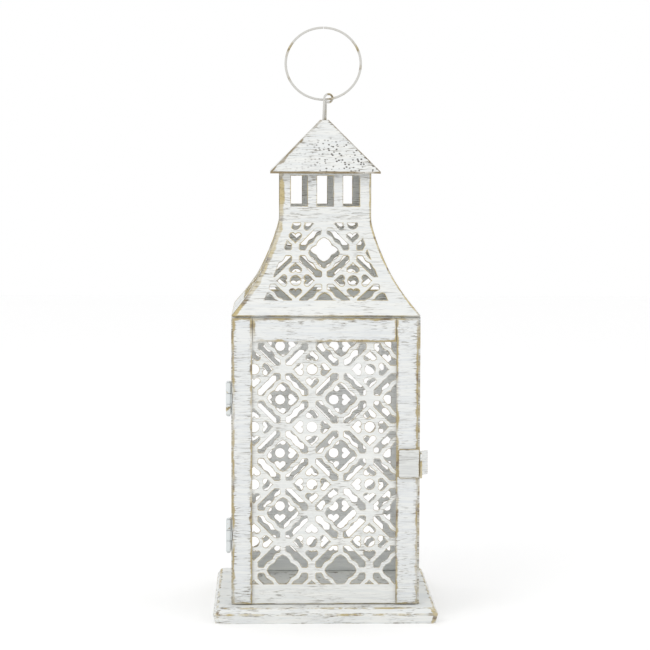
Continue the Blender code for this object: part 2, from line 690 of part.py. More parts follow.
def build_hanger():
    curve = bpy.data.curves.new("hanger_eye", "CURVE")
    curve.dimensions = "3D"
    curve.bevel_depth = EYE_WIRE
    curve.bevel_resolution = 2
    curve.use_fill_caps = True
    spline = curve.splines.new("POLY")
    path = eye_path()
    spline.points.add(len(path) - 1)
    for point, place in zip(spline.points, path):
        point.co = (*place, 1)
    eye = add_part("hanger_eye", curve, WORN_GOLD)
    swivel = add_axis("eye_swivel_axis", (0, 0, CAP_TOP))
    ride_on(swivel, eye)

    bpy.ops.mesh.primitive_torus_add(
        major_segments=36, minor_segments=8, major_radius=RING_RADIUS, minor_radius=RING_WIRE)
    ring = bpy.context.object
    ring.name = "hanger_ring"
    for collection in list(ring.users_collection):
        collection.objects.unlink(ring)
    parts.objects.link(ring)
    ring.data.materials.append(finish_material("hanger_ring", WORN_GOLD))
    upright = Matrix.Rotation(math.radians(90), 4, "X")
    widen = Matrix.Diagonal((RING_WIDEN, 1, 1, 1))
    ring.data.transform(widen @ Matrix.Translation((0, 0, RING_RADIUS)) @ upright)
    ring.location = (RING_MIDDLE, RING_Y, RING_BOTTOM)
    shade_round(ring)
    ride_on(swivel, ring)


build_base()
build_sill()
build_posts()
build_header()
build_walls()
door_pieces = build_door()
door_leaves = [build_hinge(level, middle) for level, middle in HINGE_MIDDLES.items()]
latch_plate, latch_tab = build_latch()
hinge_axis = add_axis("door_hinge_axis", (HINGE_X, HINGE_Y, 0))
ride_on(hinge_axis, *door_pieces, *door_leaves, latch_plate)
flex_axis = add_axis("latch_flex_axis", (*LATCH_BEND, LATCH_Z))
ride_on(flex_axis, latch_tab)
ride_on(hinge_axis, flex_axis)
build_roof()
build_cap()
build_hanger()
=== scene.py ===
# %% [markdown]
# # A whitewashed candle lantern
# A sheet-metal lantern: a square box of stamped lattice with a hinged door, a flared roof with
# vent slots, a pyramid cap and a wire ring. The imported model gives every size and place. The
# lesson remodels each piece with the detail of real sheet metal and paints it: white over gold.

# %% The frame
import json
import math

import bmesh
import bpy
from mathutils import Matrix, Vector


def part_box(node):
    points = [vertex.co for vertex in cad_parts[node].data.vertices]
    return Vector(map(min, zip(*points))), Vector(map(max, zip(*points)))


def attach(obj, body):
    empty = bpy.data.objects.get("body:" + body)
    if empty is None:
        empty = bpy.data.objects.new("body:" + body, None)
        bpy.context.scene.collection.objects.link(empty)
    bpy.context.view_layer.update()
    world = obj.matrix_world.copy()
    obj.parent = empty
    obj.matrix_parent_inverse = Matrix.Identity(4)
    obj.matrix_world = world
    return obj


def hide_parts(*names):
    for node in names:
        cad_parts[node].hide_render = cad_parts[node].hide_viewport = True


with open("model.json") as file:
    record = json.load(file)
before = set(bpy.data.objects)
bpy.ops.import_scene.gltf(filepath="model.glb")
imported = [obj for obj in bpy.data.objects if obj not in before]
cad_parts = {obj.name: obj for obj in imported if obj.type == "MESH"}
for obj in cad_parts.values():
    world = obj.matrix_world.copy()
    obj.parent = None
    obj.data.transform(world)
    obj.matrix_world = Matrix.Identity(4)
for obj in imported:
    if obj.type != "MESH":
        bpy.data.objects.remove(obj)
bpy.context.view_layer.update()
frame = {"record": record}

MM = 0.001

# %% [markdown]
# ## Selecting and adding
# An operator acts on everything that is selected, so each step starts by selecting nothing.
# Faces, edges and corners are then picked in code by where they lie or which way they face, as
# a click would. A finished object keeps its place in its mesh, so its transform is applied.

# %% Helpers for selecting
def deselect():
    if bpy.context.object and bpy.context.object.mode != "OBJECT":
        bpy.ops.object.mode_set(mode="OBJECT")
    bpy.ops.object.select_all(action="DESELECT")


def activate(piece):
    deselect()
    piece.select_set(True)
    bpy.context.view_layer.objects.active = piece


def pick(piece, kind, test):
    """Go into edit mode with only the corners, edges or faces that pass a test selected."""
    activate(piece)
    bpy.ops.object.mode_set(mode="EDIT")
    bpy.ops.mesh.select_mode(type=kind)
    bpy.ops.mesh.select_all(action="DESELECT")
    shape = bmesh.from_edit_mesh(piece.data)
    items = {"VERT": shape.verts, "EDGE": shape.edges, "FACE": shape.faces}[kind]
    for item in items:
        if test(item):
            item.select_set(True)
    bmesh.update_edit_mesh(piece.data)


def settle(name):
    """Name the object just added, and move its place, turn and size into its mesh."""
    piece = bpy.context.object
    bpy.ops.object.transform_apply(location=True, rotation=True, scale=True)
    piece.name = name
    return piece


def block(name, low, high):
    """A cube primitive between two corners."""
    low, high = Vector(low), Vector(high)
    deselect()
    bpy.ops.mesh.primitive_cube_add(size=1, location=(low + high) / 2, scale=high - low)
    return settle(name)


def apply_modifier(piece, kind, **settings):
    """Add a modifier, set it and apply it."""
    activate(piece)
    modifier = piece.modifiers.new(kind.lower(), kind)
    for key, value in settings.items():
        setattr(modifier, key, value)
    bpy.ops.object.modifier_apply(modifier=modifier.name)


def join(pieces, name):
    deselect()
    for piece in pieces:
        piece.select_set(True)
    bpy.context.view_layer.objects.active = pieces[0]
    bpy.ops.object.join()
    pieces[0].name = name
    return pieces[0]


def outward(piece):
    """Merge doubles and turn every face outwards."""
    pick(piece, "FACE", lambda face: True)
    bpy.ops.mesh.remove_doubles(threshold=0.001 * MM)
    bpy.ops.mesh.select_all(action="SELECT")
    bpy.ops.mesh.normals_make_consistent(inside=False)
    deselect()


# %% [markdown]
# ## Where paint wears
# Whitewash rubs off where sheet metal has an edge. Each piece stores this as a number on every
# corner, called wear: 1 on an edge and 0 in the middle of a face. To give a flat face a band
# between the two, it is inset: the new inner corners get 0 and the old outer ones keep 1.

# %% Helpers for wear
def mark_wear(piece, calm):
    """Store wear: 0 at the corners whose numbers are in calm, 1 at all others."""
    wear = piece.data.attributes.new("wear", "FLOAT", "POINT")
    for vertex in piece.data.vertices:
        wear.data[vertex.index].value = 0.0 if vertex.index in calm else 1.0


def inset_faces(piece, test, band, sink=0.0):
    """Inset the faces that pass a test as one region, and return the inner corners."""
    pick(piece, "FACE", test)
    bpy.ops.mesh.inset(thickness=band, depth=-sink, use_even_offset=True)
    shape = bmesh.from_edit_mesh(piece.data)
    inner = {vert.index for face in shape.faces if face.select for vert in face.verts}
    deselect()
    return inner


EDGE = 0.22 * MM               # rounding of a cut sheet edge


def soften(piece, width=EDGE, segments=2):
    """Round the sharp edges."""
    apply_modifier(piece, "BEVEL", width=width, segments=segments, limit_method="ANGLE",
                   angle_limit=math.radians(40))


def band_and_mark(piece, band):
    """Give each face that is wide enough its own worn band, and mark the wear."""
    pick(piece, "FACE", lambda face: face.calc_area() > 1.3 * band * face.calc_perimeter())
    bpy.ops.mesh.inset(thickness=band, use_individual=True, use_even_offset=True)
    shape = bmesh.from_edit_mesh(piece.data)
    calm = {vert.index for face in shape.faces if face.select for vert in face.verts}
    deselect()
    mark_wear(piece, calm)


def finish(piece, node, material, smooth_angle=35):
    """Hand a finished piece over: material, shading, the body it rides on and its node."""
    activate(piece)
    bpy.ops.object.shade_smooth_by_angle(angle=math.radians(smooth_angle))
    piece.name = f"{node}_detailed"
    piece.data.materials.clear()
    piece.data.materials.append(material)
    body = next(name for name, nodes in frame["record"]["behaviour"]["bodies"].items()
                if node in nodes)
    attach(piece, body)
    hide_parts(node)
    print(f"{node}: {len(piece.data.polygons)} faces, rides on {body}")
    return piece


# %% [markdown]
# ## Camera, floor and light
# The camera stands a metre and a half in front, a little above the roof and almost straight on,
# with a long lens so that the lantern hardly tapers. The studio is white all round. Two large
# soft lamps, one high on the left and a weaker one on the right, give the sheets their shading.

# %% Camera
CAMERA_PLACE = Vector((-0.0361, -1.5079, 0.3061))
CAMERA_PITCH = math.radians(-4.61)
CAMERA_YAW = math.radians(-1.40)
CAMERA_ROLL = math.radians(0.15)
LENS = 127.3

camera_data = bpy.data.cameras.new("camera")
camera_data.lens = LENS
camera_data.sensor_width = 36
camera = bpy.data.objects.new("camera", camera_data)
camera.matrix_world = (Matrix.Translation(CAMERA_PLACE) @ Matrix.Rotation(CAMERA_YAW, 4, "Z")
                       @ Matrix.Rotation(math.radians(90) + CAMERA_PITCH, 4, "X")
                       @ Matrix.Rotation(CAMERA_ROLL, 4, "Z"))
bpy.context.scene.collection.objects.link(camera)
bpy.context.scene.camera = camera
bpy.context.scene.view_settings.view_transform = "Standard"
print("camera at", [round(value, 3) for value in CAMERA_PLACE])

# %% Floor
FLOOR_HALF = 3.0

deselect()
bpy.ops.mesh.primitive_plane_add(size=2 * FLOOR_HALF, location=(0, 0, -0.02 * MM))
floor = settle("floor")
floor_paint = bpy.data.materials.new("floor_paper")
floor_paint.use_nodes = True
floor_shader = floor_paint.node_tree.nodes["Principled BSDF"]
floor_shader.inputs["Base Color"].default_value = (0.985, 0.985, 0.985, 1)
floor_shader.inputs["Roughness"].default_value = 0.9
floor.data.materials.append(floor_paint)

# %% Lamps and sky
def soft_lamp(name, place, size, watts):
    """A square lamp that looks at the middle of the lantern."""
    lamp_data = bpy.data.lights.new(name, "AREA")
    lamp_data.size = size
    lamp_data.energy = watts
    lamp = bpy.data.objects.new(name, lamp_data)
    towards = Vector((0, 0, 0.17)) - Vector(place)
    lamp.matrix_world = (Matrix.Translation(place)
                         @ towards.to_track_quat("-Z", "Y").to_matrix().to_4x4())
    bpy.context.scene.collection.objects.link(lamp)


soft_lamp("key_lamp", (-0.9, -1.1, 1.3), 0.8, 5)
soft_lamp("fill_lamp", (1.2, -0.9, 0.7), 0.9, 1.5)
sky = bpy.context.scene.world or bpy.data.worlds.new("studio")
bpy.context.scene.world = sky
sky.use_nodes = True
sky.node_tree.nodes["Background"].inputs["Color"].default_value = (1, 1, 1, 1)
sky.node_tree.nodes["Background"].inputs["Strength"].default_value = 1.0

# %% [markdown]
# ## Paint, node by node
# A finish is a graph of small nodes. These helpers add one node each and return its output, so
# that a material below reads like a recipe. All patterns are in the object's own coordinates,
# in metres, so a scale of 1000 makes marks about a millimetre across.

# %% Node helpers
def add_node(tree, kind, inputs, output=0, **settings):
    """Add a node, set or link its inputs by name or number, and return one output."""
    node = tree.nodes.new(kind)
    for key, value in settings.items():
        setattr(node, key, value)
    for socket, value in inputs.items():
        if isinstance(value, bpy.types.NodeSocket):
            tree.links.new(value, node.inputs[socket])
        else:
            node.inputs[socket].default_value = value
    return node.outputs[output]


def calculate(tree, operation, first, second=0.0):
    return add_node(tree, "ShaderNodeMath", {0: first, 1: second}, operation=operation)


def fade(tree, value, start, end, low=0.0, high=1.0):
    """Low below start, high above end, and a smooth step between them."""
    return add_node(
        tree, "ShaderNodeMapRange",
        {"Value": value, "From Min": start, "From Max": end, "To Min": low, "To Max": high},
        interpolation_type="SMOOTHSTEP")


def blend(tree, amount, first, second):
    """Mix two colours, each a socket or three numbers."""
    colours = [value if isinstance(value, bpy.types.NodeSocket) else (*value, 1)
               for value in (first, second)]
    return add_node(tree, "ShaderNodeMix", {0: amount, 6: colours[0], 7: colours[1]}, output=2,
                    data_type="RGBA")


def noise(tree, place, marks, shift=0.0, detail=3.0):
    """Noise whose marks per metre are given along X, Y and Z."""
    moved = add_node(tree, "ShaderNodeMapping",
                     {"Vector": place, "Location": (shift, shift, shift), "Scale": marks})
    return add_node(tree, "ShaderNodeTexNoise",
                    {"Vector": moved, "Scale": 1.0, "Detail": detail, "Roughness": 0.6})


# %% [markdown]
# ## Whitewash over gold
# The makers paint the lantern gold, then drag a nearly dry brush of white over it sideways.
# Layers copy this. Broad strokes shift the white between warm and cool. Fine dark dashes and
# scratches show where the brush skipped. On edges, where wear plus some noise is high, the gold shows
# through, darkened in places to brown. Strokes are long along X and Y and thin along Z.

# %% Colours, hips and specks
GOLD = (0.56, 0.46, 0.22)
BROWN = (0.16, 0.105, 0.04)

SKIPPED = (0.17, 0.145, 0.105)
SCRATCHED = (0.20, 0.18, 0.15)
SPECKED = (0.13, 0.12, 0.11)


def hip_mask(tree, place, left_width, right_width):
    """Wear on the hips of a square roof, which lie where X and Y are the same distance out."""
    axes = tree.nodes.new("ShaderNodeSeparateXYZ")
    tree.links.new(place, axes.inputs[0])
    across = calculate(tree, "ABSOLUTE", axes.outputs["X"])
    deep = calculate(tree, "ABSOLUTE", axes.outputs["Y"])
    from_hip = calculate(tree, "ABSOLUTE", calculate(tree, "SUBTRACT", across, deep))
    width = fade(tree, axes.outputs["X"], -1 * MM, 1 * MM, left_width, right_width)
    return calculate(tree, "SUBTRACT", 1.0, calculate(tree, "DIVIDE", from_hip, width))


def cap_specks(tree, place, strength):
    """Small round specks, thick on the lower right of the cap and thin on its left and top."""
    axes = tree.nodes.new("ShaderNodeSeparateXYZ")
    tree.links.new(place, axes.inputs[0])
    cells = add_node(tree, "ShaderNodeTexVoronoi", {"Vector": place, "Scale": 420.0})
    specks = calculate(tree, "SUBTRACT", 1.0, fade(tree, cells, 0.22, 0.36))
    chosen = fade(tree, noise(tree, place, (110, 110, 110), shift=11.0), 0.30, 0.42)
    thick = calculate(tree, "MULTIPLY", fade(tree, axes.outputs["X"], -18 * MM, 6 * MM, 0.2, 1.0),
                      fade(tree, axes.outputs["Z"], 302 * MM, 310 * MM, 1.0, 0.0))
    chosen = calculate(tree, "MULTIPLY", chosen, thick)
    return calculate(tree, "MULTIPLY", calculate(tree, "MULTIPLY", specks, chosen), strength)


# %% [markdown]
# The recipe itself stacks those marks in the order a brush and years of handling would: paint,
# skips, scratches and specks first, then the gold where it has rubbed through.

# %% Whitewash recipe
def whitewash(name, light, cool, worn=0.5, dashes=0.5, hips=None, dots=0.0, brown=0.0):
    """Dry-brushed white over gold.

    worn is how far the gold spreads from edges, dashes how strong the brush's skips are, hips
    the widths of the worn bands on the left and right hips, dots the strength of specks, and
    brown how much of the bare metal is tarnished.
    """
    material = bpy.data.materials.new(name)
    material.use_nodes = True
    tree = material.node_tree
    shader = tree.nodes["Principled BSDF"]
    place = add_node(tree, "ShaderNodeTexCoord", {}, output="Object")

    strokes = noise(tree, place, (45, 45, 800))
    skips = noise(tree, place, (150, 150, 2300), shift=3.0, detail=2.0)
    patches = noise(tree, place, (55, 55, 90), shift=7.0)
    paint = blend(tree, fade(tree, strokes, 0.34, 0.68), light, cool)
    edge = add_node(tree, "ShaderNodeAttribute", {}, output="Fac", attribute_name="wear")
    if hips:
        edge = calculate(tree, "MAXIMUM", edge, hip_mask(tree, place, *hips))
    near_edge = fade(tree, edge, 0.05, 0.7, 0.0, 0.9)
    skipped = calculate(tree, "ADD", fade(tree, patches, 0.42, 0.66, 0.0, 0.95), near_edge)
    bare = calculate(tree, "MULTIPLY", fade(tree, skips, 0.54, 0.66), skipped)
    bare = calculate(tree, "MULTIPLY", bare, dashes)
    paint = blend(tree, bare, paint, SKIPPED)
    scratches = noise(tree, place, (70, 70, 3400), shift=17.0, detail=4.0)
    scratched = calculate(tree, "MULTIPLY", fade(tree, scratches, 0.56, 0.70),
                          fade(tree, noise(tree, place, (30, 30, 60), shift=19.0), 0.42, 0.60))
    paint = blend(tree, calculate(tree, "MULTIPLY", scratched, dashes), paint, SCRATCHED)
    if dots:
        paint = blend(tree, cap_specks(tree, place, dots), paint, SPECKED)

    chips = noise(tree, place, (120, 120, 160), shift=5.0, detail=5.0)
    reach = calculate(tree, "ADD", edge, calculate(tree, "MULTIPLY", chips, 1.2))
    rubbed = fade(tree, reach, 1.95 - worn, 2.2 - worn)
    spared = fade(tree, noise(tree, place, (38, 38, 38), shift=13.0), 0.36, 0.56, 0.25, 0.9)
    rubbed = calculate(tree, "MULTIPLY", rubbed, spared)
    tarnish = fade(tree, noise(tree, place, (110, 110, 160), shift=9.0), 0.46, 0.66)
    tarnish = calculate(tree, "MAXIMUM", tarnish, brown)
    metal = blend(tree, tarnish, GOLD, BROWN)
    tree.links.new(blend(tree, rubbed, paint, metal), shader.inputs["Base Color"])

    tree.links.new(fade(tree, rubbed, 0.0, 1.0, 0.66, 0.46), shader.inputs["Roughness"])
    tree.links.new(calculate(tree, "MULTIPLY", rubbed, 0.35), shader.inputs["Metallic"])
    shader.inputs["Specular IOR Level"].default_value = 0.35
    height = calculate(tree, "SUBTRACT", calculate(tree, "ADD", strokes, skips), rubbed)
    bump = add_node(tree, "ShaderNodeBump",
                    {"Height": height, "Strength": 0.35, "Distance": 0.12 * MM}, output="Normal")
    tree.links.new(bump, shader.inputs["Normal"])
    return material


# %% [markdown]
# Every group of sheets gets its own mix: how light, how worn on its edges, how strongly dashed.
# The stiles and the latch are handled most, and the cap has specks and the darkest hips. The walls
# and the inner strips get lighter, cooler copies of the white: painted light inside the box.

# %% Paints for each group of sheets
WARM_WHITE = (0.765, 0.77, 0.745)
COOL_WHITE = (0.69, 0.71, 0.71)
frame_paint = whitewash("whitewash_frame", WARM_WHITE, COOL_WHITE, worn=0.5, dashes=0.95, brown=0.25)
stile_paint = whitewash("whitewash_stile", (0.735, 0.745, 0.73), (0.655, 0.675, 0.685), worn=0.72,
                        dashes=1.0, brown=0.45)
# A lighter, cooler copy of the white for the side and rear walls: painted light, standing in for the light
# that reaches the inside of the box.
lit_wall_paint = whitewash("whitewash_wall", (0.85, 0.86, 0.855), (0.78, 0.795, 0.80), worn=0.8,
                       dashes=0.75, brown=0.3)
lattice_paint = whitewash("whitewash_lattice", WARM_WHITE, (0.69, 0.705, 0.695), worn=0.95,
                          dashes=0.9, brown=0.35)
roof_paint = whitewash("whitewash_roof", WARM_WHITE, COOL_WHITE, worn=1.1, dashes=0.95,
                       hips=(4.2 * MM, 1.5 * MM), brown=0.15)
cap_paint = whitewash("whitewash_cap", WARM_WHITE, COOL_WHITE, worn=0.75, dashes=1.0,
                      hips=(7 * MM, 3.2 * MM), dots=1.0, brown=0.85)
latch_paint = whitewash("whitewash_latch", (0.69, 0.70, 0.68), (0.58, 0.59, 0.58), worn=0.7,
                        dashes=1.0, brown=0.6)
# A lighter copy of the white for the strip behind the door's top and the floor frame: painted light that
# brightens the inside of the box. Its lighter wear is real.
lit_inner_paint = whitewash("whitewash_inner", (0.82, 0.84, 0.83), (0.74, 0.76, 0.76), worn=0.2,
                        dashes=0.2)
print("paints:", [material.name for material in bpy.data.materials if "whitewash" in material.name])

# %% [markdown]
# ## Worn gold
# The hinges, the ring and its eye are small, so hands and the brush treat them more roughly:
# gold and pale grey-white lie in patches, with dark tarnish between.

# %% Worn gold material
def worn_gold(name, pale, share, gold, tarnished, patch=150.0):
    """Gold wire or hinge metal with whitewash left on a share of it."""
    material = bpy.data.materials.new(name)
    material.use_nodes = True
    tree = material.node_tree
    shader = tree.nodes["Principled BSDF"]
    place = add_node(tree, "ShaderNodeTexCoord", {}, output="Object")
    patches = noise(tree, place, (patch, patch, patch))
    tarnish = fade(tree, noise(tree, place, (420, 420, 420), shift=4.0), 0.40, 0.66)
    metal = blend(tree, tarnish, gold, tarnished)
    left = fade(tree, patches, 0.62 - share / 3, 0.70 - share / 3)
    tree.links.new(blend(tree, left, metal, pale), shader.inputs["Base Color"])
    tree.links.new(fade(tree, left, 0.0, 1.0, 0.38, 0.6), shader.inputs["Roughness"])
    tree.links.new(fade(tree, left, 0.0, 1.0, 0.6, 0.0), shader.inputs["Metallic"])
    bump = add_node(tree, "ShaderNodeBump",
                    {"Height": patches, "Strength": 0.3, "Distance": 0.1 * MM}, output="Normal")
    tree.links.new(bump, shader.inputs["Normal"])
    return material


wire_gold = worn_gold("worn_gold_wire", (0.55, 0.54, 0.51), 0.7, (0.44, 0.38, 0.24),
                      (0.27, 0.22, 0.14), patch=45.0)
hinge_gold = worn_gold("worn_gold_hinge", (0.64, 0.67, 0.67), 0.8, (0.50, 0.41, 0.21),
                       (0.13, 0.10, 0.06))

# %% [markdown]
# ## Base tray
# The foot is one pressed sheet: a flat top, a skirt that flares out to a soft crease and comes
# back in, and a hem turned in underneath. It starts as a cube. Its upright edges are bevelled,
# it is cut at the crease, the levels are scaled, the underside is opened and the hem extruded.

# %% Base tray
SHEET = 1.0 * MM
TRAY_TOP = 10 * MM
TRAY_CREASE = 6 * MM
TRAY_HALF_FOOT = 70 * MM
TRAY_HALF_CREASE = 71.5 * MM
TRAY_HALF_TOP = 69 * MM
TRAY_CORNER = 3 * MM
TRAY_HEM = 6 * MM


def at_height(height):
    return lambda item: abs(item.co.z - height) < 0.01 * MM


def scale_level(piece, height, share):
    pick(piece, "VERT", at_height(height))
    bpy.ops.transform.resize(value=(share, share, 1), center_override=(0, 0, height))


tray = block("tray", (-TRAY_HALF_CREASE, -TRAY_HALF_CREASE, 0),
             (TRAY_HALF_CREASE, TRAY_HALF_CREASE, TRAY_TOP))
pick(tray, "EDGE", lambda edge: abs(edge.verts[0].co.z - edge.verts[1].co.z) > TRAY_TOP / 2)
bpy.ops.mesh.bevel(offset=TRAY_CORNER, segments=5, affect="EDGES")
bpy.ops.mesh.select_all(action="SELECT")
bpy.ops.mesh.bisect(plane_co=(0, 0, TRAY_CREASE), plane_no=(0, 0, 1))
scale_level(tray, 0, TRAY_HALF_FOOT / TRAY_HALF_CREASE)
scale_level(tray, TRAY_TOP, TRAY_HALF_TOP / TRAY_HALF_CREASE)
pick(tray, "FACE", lambda face: face.normal.z < -0.9)
bpy.ops.mesh.delete(type="FACE")
pick(tray, "EDGE", lambda edge: edge.is_boundary)
bpy.ops.mesh.extrude_edges_move()
bpy.ops.transform.resize(value=((1 - TRAY_HEM / TRAY_HALF_FOOT),) * 2 + (1,),
                         center_override=(0, 0, 0))
pick(tray, "FACE", lambda face: face.normal.z > 0.9)
bpy.ops.mesh.region_to_loop()
bpy.ops.mesh.bevel(offset=0.9 * MM, segments=3, affect="EDGES")
pick(tray, "EDGE", lambda edge: all(abs(vert.co.z - TRAY_CREASE) < 0.01 * MM for vert in edge.verts))
bpy.ops.mesh.bevel(offset=0.7 * MM, segments=3, affect="EDGES")
outward(tray)
band_and_mark(tray, 0.9 * MM)
apply_modifier(tray, "SOLIDIFY", thickness=SHEET, offset=-1, use_even_offset=True)
finish(tray, "base_tray", frame_paint)

# %% [markdown]
# ## Posts
# Each corner of the box is a bent strip, an L in section. The real one is folded round a
# corner; here a thin square bar is added at the corner and its two inner faces are extruded
# into legs, which gives the same L. The edges are rounded, and the broad faces inset for wear.

# %% Posts
for node in ("post_front_left", "post_front_right", "post_rear_left", "post_rear_right"):
    low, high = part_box(node)
    x_side, y_side = math.copysign(1, low[0]), math.copysign(1, low[1])
    corner = Vector((high[0] if x_side > 0 else low[0], high[1] if y_side > 0 else low[1], low[2]))
    inner = corner - Vector((x_side * SHEET, y_side * SHEET, 0))
    post = block("post", [min(a, b) for a, b in zip(corner, inner)],
                 [max(corner[0], inner[0]), max(corner[1], inner[1]), high[2]])
    x_leg = high[0] - low[0] - SHEET
    y_leg = high[1] - low[1] - SHEET
    for axis, side, leg in ((0, x_side, x_leg), (1, y_side, y_leg)):
        step = Vector((0, 0, 0))
        step[axis] = -side * leg
        pick(post, "FACE", lambda face: face.normal[axis] * side < -0.9
             and abs(face.calc_center_median()[axis] - inner[axis]) < 0.01 * MM
             and face.calc_area() < 1.5 * SHEET * (high[2] - low[2]))
        bpy.ops.mesh.extrude_region_move(TRANSFORM_OT_translate={"value": step})
    outward(post)
    soften(post)
    band_and_mark(post, 3.0 * MM)
    finish(post, node, frame_paint)

# %% [markdown]
# ## Flat strips
# The door's stiles, all the top rails, the strip behind the door's top and the frame on the
# floor are flat strips of sheet. One function makes them all: a block as large as the node,
# its edges rounded and its broad faces inset. A narrow band means a thin line of worn gold.

# %% Strips
def strip(node, material, band):
    piece = block(node, *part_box(node))
    soften(piece)
    band_and_mark(piece, band)
    return finish(piece, node, material)


for node in ("door_left_stile", "door_right_stile", "door_top_rail"):
    strip(node, stile_paint, 3.5 * MM)
for node in ("left_top_rail", "right_top_rail", "rear_top_rail"):
    strip(node, stile_paint, 3.5 * MM)
strip("front_header", lit_inner_paint, 1.0 * MM)

# %% Frame on the floor
low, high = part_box("floor_sill")
sill = block("sill", low, high)
pick(sill, "FACE", lambda face: abs(face.normal.z) > 0.9)
bpy.ops.mesh.inset(thickness=SHEET, use_even_offset=True)
bpy.ops.mesh.bridge_edge_loops()
soften(sill, width=0.18 * MM)
band_and_mark(sill, 1.0 * MM)
finish(sill, "floor_sill", lit_inner_paint)

# %% [markdown]
# ## The lattice's punches
# The pattern is stamped out by four punches, which repeat on a square grid of crossings: a
# scalloped diamond, a round hole with four heart-shaped petals that make a flower, and a wavy
# slot between them. Each punch is a cylinder whose rim is moved on to a formula, so one shape
# is modelled once and copied wherever the grid asks for it.

# %% Outlines of the punches
PUNCH_DEPTH = 8 * MM
DIAMOND_TIP = 10.0 * MM
DIAMOND_LOBE = 0.85 * MM
SLOT_LENGTH = 18.8 * MM
SLOT_WIDTH = 4.9 * MM
SLOT_WAVE = 0.9 * MM
FLOWER_HOLE = 3.4 * MM
PETAL_REACH = 8.2 * MM
PETAL_WIDTH = 8.0 * MM
PETAL_LENGTH = 6.5 * MM


def diamond_outline():
    """Four straight sides between the tips, each swelling into two lobes."""
    tips = [Vector((DIAMOND_TIP, 0)), Vector((0, DIAMOND_TIP)),
            Vector((-DIAMOND_TIP, 0)), Vector((0, -DIAMOND_TIP))]
    points = []
    for start, end in zip(tips, tips[1:] + tips[:1]):
        swell = ((start + end) / 2).normalized()
        for k in range(12):
            share = k / 12
            lobe = DIAMOND_LOBE * abs(math.sin(2 * math.pi * share))
            points.append(start.lerp(end, share) + swell * lobe)
    return points


def petal_outline():
    """A heart whose point is away from the flower's middle."""
    points = []
    for degrees in (0, *(30 + 300 * k / 17 for k in range(18))):
        angle = -math.radians(degrees)
        wide = math.sin(angle) ** 3
        long = (13 * math.cos(angle) - 5 * math.cos(2 * angle)
                - 2 * math.cos(3 * angle) - math.cos(4 * angle)) / 29
        points.append(Vector((PETAL_REACH - long * PETAL_LENGTH, wide * PETAL_WIDTH / 2)))
    return points


def slot_outline():
    """A slot along X: its upper edge is wavy, its lower edge straight, and its ends pointed."""
    half_length, half_width = SLOT_LENGTH / 2, SLOT_WIDTH / 2
    shoulder = half_length - 0.8 * half_width
    points = []
    for k in range(17):
        share = k / 16
        wave = SLOT_WAVE * math.sin(2 * math.pi * share) ** 2
        points.append(Vector((shoulder * (1 - 2 * share), half_width - wave)))
    points += [Vector((-half_length, 0.2 * half_width)), Vector((-half_length, -0.2 * half_width))]
    points += [Vector((-shoulder, -half_width)), Vector((shoulder, -half_width))]
    points += [Vector((half_length, -0.2 * half_width)), Vector((half_length, 0.2 * half_width))]
    return points


def circle_outline():
    return [Vector((FLOWER_HOLE * math.cos(2 * math.pi * k / 18),
                    FLOWER_HOLE * math.sin(2 * math.pi * k / 18))) for k in range(18)]


# %% Punches
def make_punch(name, outline):
    """A cylinder along Y with its rim on an outline in X and Z."""
    deselect()
    bpy.ops.mesh.primitive_cylinder_add(vertices=len(outline), radius=1, depth=PUNCH_DEPTH)
    punch = settle(name)
    for vertex in punch.data.vertices:
        x, z = outline[vertex.index // 2]
        vertex.co = (x, math.copysign(PUNCH_DEPTH / 2, vertex.co.z), z)
    outward(punch)
    return punch


diamond_punch = make_punch("diamond_punch", diamond_outline())
petal_punch = make_punch("petal_punch", petal_outline())
slot_punch = make_punch("slot_punch", slot_outline())
flower_punch = make_punch("flower_punch", circle_outline())
punches = (diamond_punch, petal_punch, slot_punch, flower_punch)


def stamp(punch, x, z, turn, stretch):
    """A copy of a punch with its own mesh, turned in its plane and put at a place."""
    copy = bpy.data.objects.new(punch.name, punch.data.copy())
    bpy.context.scene.collection.objects.link(copy)
    copy.data.transform(Matrix.Translation((x, 0, z)) @ Matrix.Diagonal((1, 1, stretch, 1))
                        @ Matrix.Rotation(math.radians(-turn), 4, "Y"))
    return copy


# %% [markdown]
# ## Laying out the grid
# Crossings sit where column plus row is even. Between them, even rows hold diamonds and odd
# rows flowers, and a slot runs along each bar, a little nearer to the diamond. The whole set is
# then trimmed to the panel's field by a Boolean, and crumbs too small to be stamped are thrown
# away, which leaves the cut-off slots and half petals that real stamped sheet has at its edges.

# %% Grid of punches
SLOT_SHIFT = 0.55 * MM
LEAST_HOLE = 4 * MM * MM


def slot_place(column, row, step_x, step_z):
    """Middle and turn of the slot up and right of a grid point."""
    rises = (column + row) % 2 == 0
    # the diamond beside this slot is in the even row, in the column that makes an odd sum
    diamond_row = row if row % 2 == 0 else row + 1
    diamond_column = column if (column + diamond_row) % 2 else column + 1
    towards = Vector((diamond_column - column - 0.5, diamond_row - row - 0.5)).normalized()
    x = (column + 0.5) * step_x + towards.x * SLOT_SHIFT
    z = (row + 0.5) * step_z + towards.y * SLOT_SHIFT
    turn = 45 if rises else -45
    if Vector((-math.sin(math.radians(turn)), math.cos(math.radians(turn)))).dot(towards) < 0:
        turn += 180
    return x, z, turn


